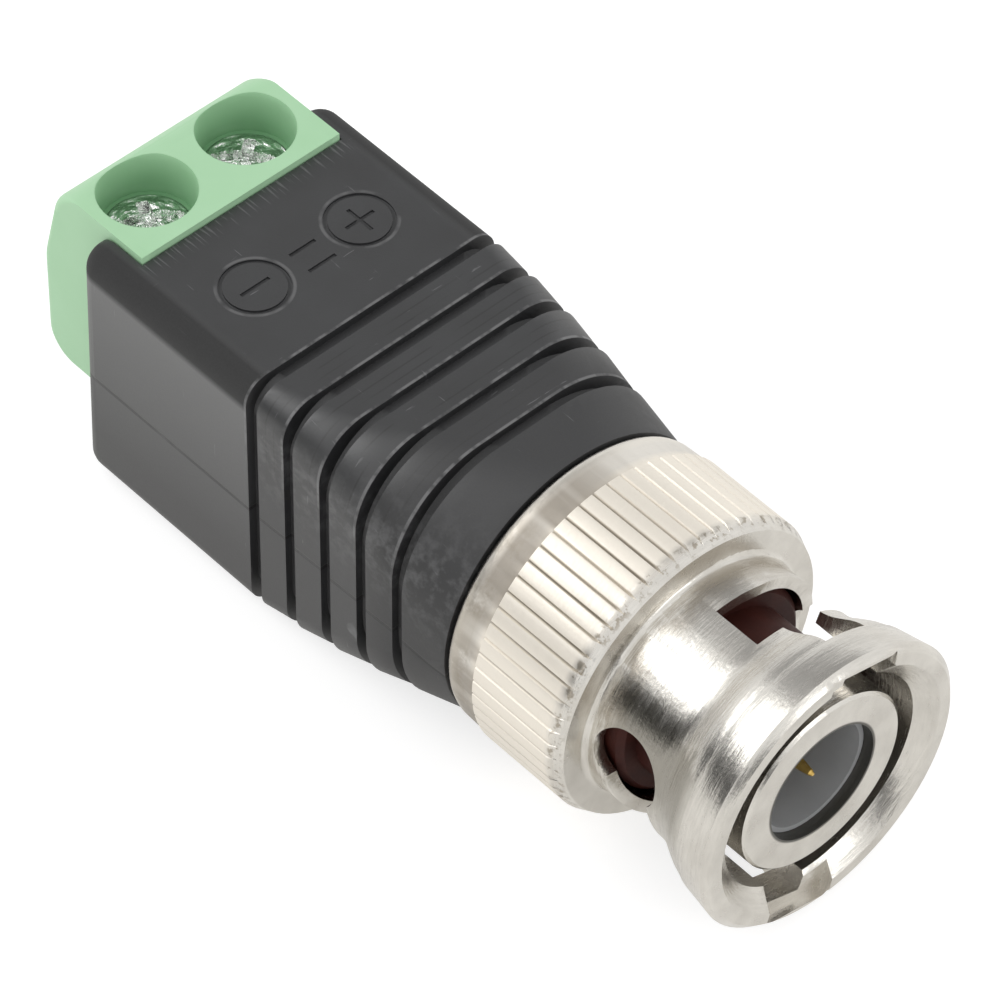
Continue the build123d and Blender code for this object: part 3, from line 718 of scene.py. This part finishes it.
steelSet = {
    "base": colour(0.50, 0.50, 0.51),
    "deep": colour(0.34, 0.34, 0.35),
    "roughness": 0.30,
    "stretch": (6.0, 1.2, 1.2),
}


def plainMetal(name, values):
    shade = Shade(name)
    streaks = shade.noise(shade.stretch(*values["stretch"]), *metalSet["streakNoise"])
    spots = shade.noise(shade.place, *metalSet["spotNoise"])
    deep = (streaks * metalSet["half"] + spots * metalSet["half"]).above(*metalSet["deepEdge"])
    rough = values["roughness"] + streaks * metalSet["streakRoughness"] + spots * metalSet["spotRoughness"]
    shade.set(Base_Color=shade.mix(deep, values["base"], values["deep"]), Metallic=1.0, Roughness=rough)
    shade.bump(streaks + spots * metalSet["spotBump"], *metalSet["bump"])
    return shade.material


# The screws' uneven plating, which throws small bright facets
facetSet = {
    "base": colour(0.98, 0.99, 0.97),
    "deep": colour(0.80, 0.82, 0.80),
    "facetNoise": (1.3, 1.0),
    "spotNoise": (3.5, 3.0, 0.6),
    "deepEdge": (0.5, 0.2),
    "roughness": 0.10,
    "spotRoughness": 0.10,
    "spotBump": 0.25,
    "bump": (1.0, 0.85),
}


def facetedMetal(name, values):
    shade = Shade(name)
    facets = shade.noise(shade.place, *values["facetNoise"])
    spots = shade.noise(shade.place, *values["spotNoise"])
    shade.set(
        Base_Color=shade.mix(spots.above(*values["deepEdge"]), values["base"], values["deep"]),
        Metallic=1.0,
        Roughness=values["roughness"] + spots * values["spotRoughness"],
    )
    shade.bump(facets + spots * values["spotBump"], *values["bump"])
    return shade.material


# The leads' red sheath between their bare tinned ends, parted by the place along the plug
leadSet = {
    "bare": colour(0.72, 0.70, 0.66),
    "sheath": colour(0.42, 0.03, 0.025),
    "rear": (-30.3, 0.02),
    "front": (-22.0, 0.02),
    "grainNoise": (6.0, 2.0),
    "roughness": 0.3,
    "sheathRoughness": 0.15,
    "grainRoughness": 0.1,
    "bump": (0.15, 0.010),
}


def leadSheath(name, values):
    shade = Shade(name)
    sheath = shade.x.between(values["rear"], values["front"])
    grain = shade.noise(shade.place, *values["grainNoise"])
    rough = values["roughness"] + sheath * values["sheathRoughness"] + grain * values["grainRoughness"]
    shade.set(
        Base_Color=shade.mix(sheath, values["bare"], values["sheath"]),
        Metallic=1 - sheath,
        Roughness=rough,
    )
    shade.bump(grain, *values["bump"])
    return shade.material


finishes = {
    "coupling_nut": nutPlate("knurledNickel"),
    "bnc_body": bodyPlate("turnedNickel"),
    "front_insulator": plainPlastic("greyInsulator", insulatorSet),
    "centre_pin": plainMetal("goldPlate", goldSet),
    "seal_sleeve": plainPlastic("brownSeal", sealSet),
    "thrust_washer": plainMetal("springSteel", steelSet),
    "shell_upper": blackMoulding("blackShell", shellSet),
    "terminal_housing": greenMoulding("greenBlock", blockSet),
    "terminal_screw_left": facetedMetal("brightScrew", facetSet),
    "clamp_cage_left": plainMetal("nickelCage", cageSet),
    "contact_bar_left": plainMetal("tinnedBar", tinSet),
    "signal_lead": leadSheath("leadSheath", leadSet),
}
sharedFinish = {
    "rear_insulator": "front_insulator",
    "wave_washer_front": "thrust_washer",
    "wave_washer_rear": "thrust_washer",
    "retaining_ring": "thrust_washer",
    "shell_lower": "shell_upper",
    "terminal_screw_right": "terminal_screw_left",
    "clamp_cage_right": "clamp_cage_left",
    "contact_bar_right": "contact_bar_left",
    "ground_lug": "contact_bar_left",
    "ground_lead": "signal_lead",
}


def finishOf(node):
    return finishes[sharedFinish.get(node, node)]


for node, thing in nodes.items():
    thing.data.materials.clear()
    thing.data.materials.append(finishOf(node))
print("finishes made:", len(finishes))


# Making and working meshes

def meshObject(name, points, faces):
    mesh = bpy.data.meshes.new(name)
    mesh.from_pydata(points.tolist(), [], faces)
    mesh.update()
    thing = bpy.data.objects.new(name, mesh)
    bpy.context.scene.collection.objects.link(thing)
    return thing


def rectangle(middle, halfX, halfY):
    # the four corners, anticlockwise
    x, y = middle
    return np.array([
        (x - halfX, y - halfY),
        (x + halfX, y - halfY),
        (x + halfX, y + halfY),
        (x - halfX, y + halfY),
    ])


def prism(outline, low, high):
    # the outline's points at the low height and again at the high one, joined by walls and closed by two caps
    count = len(outline)
    points = np.vstack([
        np.column_stack([outline, np.full(count, low)]),
        np.column_stack([outline, np.full(count, high)]),
    ])
    here = np.arange(count)
    after = (here + 1) % count
    walls = np.column_stack([here, after, after + count, here + count]).tolist()
    return points, walls + [here[::-1].tolist(), (here + count).tolist()]


def hoop(centre, radius, width, low, high, steps=72):
    # a rectangular section carried round a circle: grid of turn by the section's four corners
    turn = np.linspace(0, 2 * np.pi, steps, endpoint=False)[:, None]
    reach = radius + np.array([-width, width, width, -width])[None, :] / 2
    height = np.array([low, low, high, high])[None, :]
    points = np.stack([
        centre[0] + reach * np.cos(turn),
        centre[1] + reach * np.sin(turn),
        height + 0 * turn,
    ], axis=-1).reshape(-1, 3)
    ring = np.arange(steps)[:, None]
    corner = np.arange(4)[None, :]
    here = ring * 4 + corner
    beside = ring * 4 + (corner + 1) % 4
    onward = ((ring + 1) % steps) * 4
    faces = np.stack([here, onward + corner, onward + (corner + 1) % 4, beside], axis=-1)
    return points, faces.reshape(-1, 4).tolist()


def joined(parts):
    # several closed shapes as one list of points and one of faces
    points = []
    faces = []
    start = 0
    for part, sides in parts:
        points.append(part)
        faces += [[start + corner for corner in side] for side in sides]
        start += len(part)
    return np.vstack(points), faces


def readPoints(thing):
    # the mesh's points in millimetres, as three rows
    flat = np.empty(len(thing.data.vertices) * 3)
    thing.data.vertices.foreach_get("co", flat)
    return (flat.reshape(-1, 3) / mm).T


def writePoints(thing, x, y, z):
    thing.data.vertices.foreach_set("co", (np.column_stack([x, y, z]) * mm).ravel())
    thing.data.update()


# Distance within which points are merged, and the angle in degrees that still counts as flat
cleanSet = {"doubles": 0.0002, "flat": 0.3}


def cleanCopy(node, name):
    # the node's mesh with its doubles merged and its flat areas freed of inner edges
    mesh = nodes[node].data.copy()
    mesh.name = name
    work = bmesh.new()
    work.from_mesh(mesh)
    bmesh.ops.remove_doubles(work, verts=work.verts, dist=cleanSet["doubles"] * mm)
    bmesh.ops.dissolve_limit(
        work,
        angle_limit=math.radians(cleanSet["flat"]),
        verts=work.verts,
        edges=work.edges,
        delimit={"NORMAL"},
    )
    work.to_mesh(mesh)
    work.free()
    thing = bpy.data.objects.new(name, mesh)
    bpy.context.scene.collection.objects.link(thing)
    return thing


def applied(thing):
    # the object's modifiers worked into a mesh of its own
    graph = bpy.context.evaluated_depsgraph_get()
    mesh = bpy.data.meshes.new_from_object(thing.evaluated_get(graph))
    thing.modifiers.clear()
    thing.data = mesh


def carve(thing, points, faces):
    cutter = meshObject("cutter", points * mm, faces)
    cut = thing.modifiers.new("carve", "BOOLEAN")
    cut.operation = "DIFFERENCE"
    cut.solver = "EXACT"
    cut.object = cutter
    applied(thing)
    bpy.data.objects.remove(cutter)


# Edges sharper than the bevel's angle are rounded, and those sharper than the shade's stay sharp in it
edgeSet = {"segments": 2, "angle": 32, "shadeAngle": 35, "weight": 80}


def softEdges(thing, width, values):
    bevel = thing.modifiers.new("edges", "BEVEL")
    bevel.width = width * mm
    bevel.segments = values["segments"]
    bevel.limit_method = "ANGLE"
    bevel.angle_limit = math.radians(values["angle"])
    bevel.use_clamp_overlap = True
    bevel.miter_outer = "MITER_ARC"
    applied(thing)
    smoothShade(thing, values["shadeAngle"])
    # normals follow the larger faces, so that flat areas stay flat beside their rounded edges
    even = thing.modifiers.new("normals", "WEIGHTED_NORMAL")
    even.keep_sharp = True
    even.weight = values["weight"]
    applied(thing)


def smoothShade(thing, angle):
    count = len(thing.data.polygons)
    thing.data.polygons.foreach_set("use_smooth", np.ones(count, dtype=bool))
    thing.data.set_sharp_from_angle(angle=math.radians(angle))


# Polarity signs on the shell's top: a minus and a plus, each in a ring, and two short bars between
signSet = {
    "top": 6.0,
    "depth": 0.11,
    "clear": 0.5,
    "ringRadius": 1.36,
    "ringWidth": 0.17,
    "minus": (-28.88, -2.64),
    "plus": (-28.87, 2.74),
    "stroke": 0.17,
    "reach": 0.72,
    "bars": ((-29.22, 0.08, 1.30), (-28.10, 0.12, 1.37)),
}


def signCutters(values):
    low = values["top"] - values["depth"]
    high = values["top"] + values["clear"]
    half = values["stroke"] / 2
    reach = values["reach"]
    parts = []
    for centre in (values["minus"], values["plus"]):
        parts.append(hoop(centre, values["ringRadius"], values["ringWidth"], low, high))
    parts.append(prism(rectangle(values["minus"], half, reach), low, high))
    # the plus goes round its twelve corners, a quarter at a time
    quarter = np.array([(reach, -half), (reach, half), (half, half)])
    turns = [
        np.array([[math.cos(turn), -math.sin(turn)], [math.sin(turn), math.cos(turn)]])
        for turn in np.arange(4) * math.pi / 2
    ]
    cross = np.vstack([quarter @ turn.T for turn in turns]) + values["plus"]
    parts.append(prism(cross, low, high))
    for x, y, length in values["bars"]:
        parts.append(prism(rectangle((x, y), half, length / 2), low, high))
    return joined(parts)


# Knurl grooves of the nut, and the rear edge that nearly meets the shell
knurlSet = {
    "teeth": 60,
    "rear": -11.93,
    "front": -7.75,
    "bevelEnd": -7.15,
    "top": 6.75,
    "least": 6.4,
    "halfWidth": 0.19,
    "narrow": 0.45,
    "shallow": 0.6,
    "slack": 0.01,
    "skirtStart": -13.0,
    "skirtEnd": -13.55,
    "skirtDrop": 0.13,
}


def trimNut(thing, values):
    # angle from the nearest groove's middle times narrow, depth under the land times shallow,
    # and the rear edge moved back in proportion to its distance behind the skirt's start
    x, y, z = readPoints(thing)
    radius = np.hypot(y, z)
    angle = np.arctan2(z, y)
    step = 2 * np.pi / values["teeth"]
    slack = values["slack"]
    offset = (angle + step / 2) % step - step / 2
    inside = (x > values["rear"] - slack) & (x < values["bevelEnd"] - slack) & (radius > values["least"])
    inside &= np.abs(offset) * radius < values["halfWidth"]
    straight = inside & (x < values["front"] + slack)
    angle = np.where(inside, angle - offset * (1 - values["narrow"]), angle)
    radius = np.where(straight, values["top"] - (values["top"] - radius) * values["shallow"], radius)
    share = np.clip((values["skirtStart"] - x) / (values["skirtStart"] - values["skirtEnd"]), 0, 1)
    writePoints(thing, x - share * values["skirtDrop"], radius * np.cos(angle), radius * np.sin(angle))


# Rear upper edge of the block, rounder than in the solid, and the back's two upright edges
cornerSet = {
    "corner": (-37.95, 6.3),
    "slope": (-1.1, -4.4),
    "radius": 1.9,
    "clear": 2.5,
    "halfWidth": 6.0,
    "steps": 14,
}
endSet = {
    "side": 5.08,
    "radius": 0.45,
    "shares": (0, 0.25, 0.45, 0.62, 0.77, 0.89, 0.97),
    "start": -36.4,
    "fade": 1.2,
    "slack": 0.0001,
}


def cornerCutter(values):
    # what lies outside an arc that touches the top and the slope,
    # where tangent length = radius / tan(half the angle)
    along = np.array(values["slope"]) / np.hypot(*values["slope"])
    corner = np.array(values["corner"])
    radius = values["radius"]
    half = math.acos(along[0]) / 2
    reach = radius / math.tan(half)
    centre = corner + (reach, -radius)
    turn = np.linspace(math.pi / 2, math.pi / 2 + (math.pi - 2 * half), values["steps"])
    arc = centre + radius * np.column_stack([np.cos(turn), np.sin(turn)])
    far = corner + (-values["clear"], values["clear"] / 2)
    outline = np.vstack([(far[0], arc[-1][1]), far, (arc[0][0], far[1]), arc])
    points, faces = prism(outline, -values["halfWidth"], values["halfWidth"])
    return points[:, [0, 2, 1]], faces


def roundEnds(thing, values):
    # the block is cut across at a few widths, and each point that lies past the start of a rounding moves
    # forward by radius - sqrt(radius squared - distance past it squared), which fades in towards the back
    work = bmesh.new()
    work.from_mesh(thing.data)
    radius = values["radius"]
    start = values["side"] - radius
    for share in values["shares"]:
        for way in (-1, 1):
            bmesh.ops.bisect_plane(
                work,
                geom=work.verts[:] + work.edges[:] + work.faces[:],
                plane_co=(0, way * (start + share * radius) * mm, 0),
                plane_no=(0, 1, 0),
                dist=values["slack"] * mm,
            )
    work.to_mesh(thing.data)
    work.free()
    x, y, z = readPoints(thing)
    past = np.clip(np.abs(y) - start, 0, radius)
    drawn = radius - np.sqrt(radius ** 2 - past ** 2)
    writePoints(thing, x + drawn * np.clip((values["start"] - x) / values["fade"], 0, 1), y, z)


# Domed tops of the screws, with a slot right across and a shorter one crossing it.
# A slot is its half width, its half length and its depth.
headSet = {
    "place": (-35.40, 2.54),
    "low": 4.22,
    "edge": 4.27,
    "dome": 0.50,
    "radius": 1.70,
    "slot": (0.24, 1.62, 0.40),
    "cross": (0.22, 1.05, 0.34),
    "slotAngles": {"left": 1.12, "right": 0.72},
    "wall": 0.05,
    "least": 0.01,
    "rings": 36,
    "steps": 144,
}


def slotDepth(x, y, way, slot, wall):
    # full depth inside the slot, with walls that fall over the given width
    half, reach, depth = slot
    along = np.abs(x * math.cos(way) + y * math.sin(way))
    across = np.abs(-x * math.sin(way) + y * math.cos(way))
    inside = np.clip((half - across) / wall + 0.5, 0, 1) * np.clip((reach - along) / wall + 0.5, 0, 1)
    return inside * depth


def screwTop(name, centre, angle, values):
    # grid of radius by turn: height = edge + dome (1 - share squared), less the deeper of the two slots
    share = np.linspace(0, 1, values["rings"])[1:, None]
    turn = np.linspace(0, 2 * np.pi, values["steps"], endpoint=False)[None, :]
    x = share * values["radius"] * np.cos(turn)
    y = share * values["radius"] * np.sin(turn)
    cut = np.maximum(
        slotDepth(x, y, angle, values["slot"], values["wall"]),
        slotDepth(x, y, angle + math.pi / 2, values["cross"], values["wall"]),
    )
    height = values["edge"] + values["dome"] * (1 - share ** 2) - cut
    height = np.maximum(height, values["low"] + values["least"])
    rings = values["rings"] - 1
    steps = values["steps"]
    top = np.stack([centre[0] + x, centre[1] + y, height], axis=-1).reshape(-1, 3)
    base = np.stack([centre[0] + x[-1], centre[1] + y[-1], np.full(steps, values["low"])], axis=-1)
    middle = values["edge"] + values["dome"] - values["slot"][2]
    points = np.vstack([top, base, [(*centre, middle)], [(*centre, values["low"])]])
    here = np.arange(steps)
    after = (here + 1) % steps
    outer = (rings - 1) * steps
    row = (np.arange(rings - 1) * steps)[:, None]
    sheet = np.stack([row + here, row + steps + here, row + steps + after, row + after], axis=-1)
    wall = np.column_stack([outer + here, rings * steps + here, rings * steps + after, outer + after])
    hub = len(points) - 2
    inner = np.column_stack([np.full(steps, hub), here, after])
    under = np.column_stack([np.full(steps, hub + 1), rings * steps + after, rings * steps + here])
    faces = sheet.reshape(-1, 4).tolist() + wall.tolist() + inner.tolist() + under.tolist()
    cap = meshObject(name, points * mm, faces)
    cap.data.materials.append(finishOf("terminal_screw_left"))
    smoothShade(cap, edgeSet["shadeAngle"])
    return cap


# Copies that take the place of CAD nodes: the width of their soft edges
softWidths = {
    "shell_upper": 0.07,
    "shell_lower": 0.05,
    "terminal_housing": 0.07,
    "coupling_nut": 0.03,
    "wave_washer_front": 0.02,
    "wave_washer_rear": 0.02,
}


def bodyOf(node):
    bodies = frame["record"]["behaviour"]["bodies"]
    return [body for body, members in bodies.items() if node in members][0]


def dress(node, name, cutters=None, trim=None, trimSet=None):
    thing = cleanCopy(node, name)
    if cutters is not None:
        carve(thing, *cutters)
    if trim is not None:
        trim(thing, trimSet)
    thing.data.materials.clear()
    thing.data.materials.append(finishOf(node))
    softEdges(thing, softWidths[node], edgeSet)
    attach(thing, bodyOf(node))
    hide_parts(node)
    return thing


dress("shell_upper", "shellUpper", signCutters(signSet))
dress("shell_lower", "shellLower")
dress("terminal_housing", "greenHousing", cornerCutter(cornerSet), roundEnds, endSet)
dress("coupling_nut", "bayonetNut", None, trimNut, knurlSet)
for side, way in (("left", -1), ("right", 1)):
    place = (headSet["place"][0], way * headSet["place"][1])
    top = screwTop(side + "ScrewTop", place, headSet["slotAngles"][side], headSet)
    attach(top, bodyOf("terminal_screw_" + side))
# the wave washers, each dressed and given a mesh of its own
for node, name in (("wave_washer_front", "frontWave"), ("wave_washer_rear", "rearWave")):
    wave = dress(node, name)
    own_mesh(wave)
print("edges softened and signs cut")


# Floor, world and lamps
stageSet = {
    "floorSize": 3.0,
    "floorColour": colour(0.84, 0.84, 0.84),
    "floorSeen": colour(0.48, 0.48, 0.48),
    "floorGlow": colour(0.70, 0.70, 0.70),
    "floorMirrored": colour(0.48, 0.47, 0.45),
    "grainNoise": (0.02, 2.0),
    "roughness": 0.8,
    "grainRoughness": 0.05,
    "worldFill": 0.80,
    "target": (-0.018, 0, 0),
}
lampSet = {
    "keyLamp": {"azimuth": -143, "elevation": 44, "distance": 0.66, "size": (0.40, 0.36), "power": 1.00},
    "lowLamp": {"azimuth": 14, "elevation": 23, "distance": 0.66, "size": (0.26, 0.16), "power": 0.30},
}
# cards that only reflections see, as flags beside a studio table
cardSet = {
    "skyCard": {"azimuth": 140, "elevation": 48, "distance": 0.60, "size": (0.62, 0.50), "tone": 0.42},
    "streakCard": {"azimuth": -118, "elevation": 8, "distance": 0.45, "size": (0.66, 0.32), "tone": 0.03},
    "mouthCard": {"azimuth": -24, "elevation": 4, "distance": 0.40, "size": (0.24, 0.15), "tone": 0.03},
}


def placeFrom(values):
    # a point at the given distance from the target, by azimuth and elevation
    azimuth = math.radians(values["azimuth"])
    elevation = math.radians(values["elevation"])
    way = Vector((
        math.cos(elevation) * math.cos(azimuth),
        math.cos(elevation) * math.sin(azimuth),
        math.sin(elevation),
    ))
    return Vector(stageSet["target"]) + way * values["distance"], way


def square(name, size, turn, place):
    # a flat rectangle, turned and put in place in its mesh
    corners = np.column_stack([rectangle((0, 0), size[0] / 2, size[1] / 2), np.zeros(4)])
    return meshObject(name, corners @ np.array(turn).T + np.array(place), [[0, 1, 2, 3]])


def makeFloor(values):
    # the camera sees colour and glow that come to white, mirrors see a dimmer glow, and other rays none
    floor = square("floor", (values["floorSize"], values["floorSize"]), np.eye(3), (0, 0, cadBox[0][2]))
    shade = Shade("paleFloor")
    seen = shade.seenRays()
    glow = shade.mix(shade.rays("Camera"), values["floorMirrored"], values["floorGlow"])
    grain = shade.noise(shade.place, *values["grainNoise"])
    shade.set(
        Base_Color=shade.mix(seen, values["floorColour"], values["floorSeen"]),
        Roughness=values["roughness"] + grain * values["grainRoughness"],
        Emission_Color=shade.mix(seen, colour(0, 0, 0), glow),
        Emission_Strength=1.0,
    )
    floor.data.materials.append(shade.material)


def makeWorld(values):
    world = bpy.data.worlds.new("world")
    world.use_nodes = True
    sky = Nodes(world.node_tree)
    ground = world.node_tree.nodes["Background"]
    fill = values["worldFill"]
    sky.feed(ground.inputs["Color"], colour(1, 1, 1))
    sky.feed(ground.inputs["Strength"], fill + sky.seenRays() * (1 - fill))
    bpy.context.scene.world = world


def makeLamp(name, values):
    light = bpy.data.lights.new(name, "AREA")
    light.shape = "RECTANGLE"
    light.size, light.size_y = values["size"]
    light.energy = values["power"]
    lamp = bpy.data.objects.new(name, light)
    place, way = placeFrom(values)
    lamp.location = place
    lamp.rotation_euler = way.to_track_quat("Z", "Y").to_euler()
    bpy.context.scene.collection.objects.link(lamp)


def makeCard(name, values):
    place, way = placeFrom(values)
    card = square(name, values["size"], way.to_track_quat("Z", "Y").to_matrix(), place)
    tone = values["tone"]
    shade = Shade(name + "Paper")
    shade.set(
        Base_Color=colour(0, 0, 0),
        Roughness=1.0,
        Specular_IOR_Level=0.0,
        Emission_Color=colour(tone, tone, tone),
        Emission_Strength=1.0,
    )
    card.data.materials.append(shade.material)
    card.visible_camera = False
    card.visible_diffuse = False
    card.visible_shadow = False


makeFloor(stageSet)
makeWorld(stageSet)
for name, values in lampSet.items():
    makeLamp(name, values)
for name, values in cardSet.items():
    makeCard(name, values)
print("floor, world and lamps made")
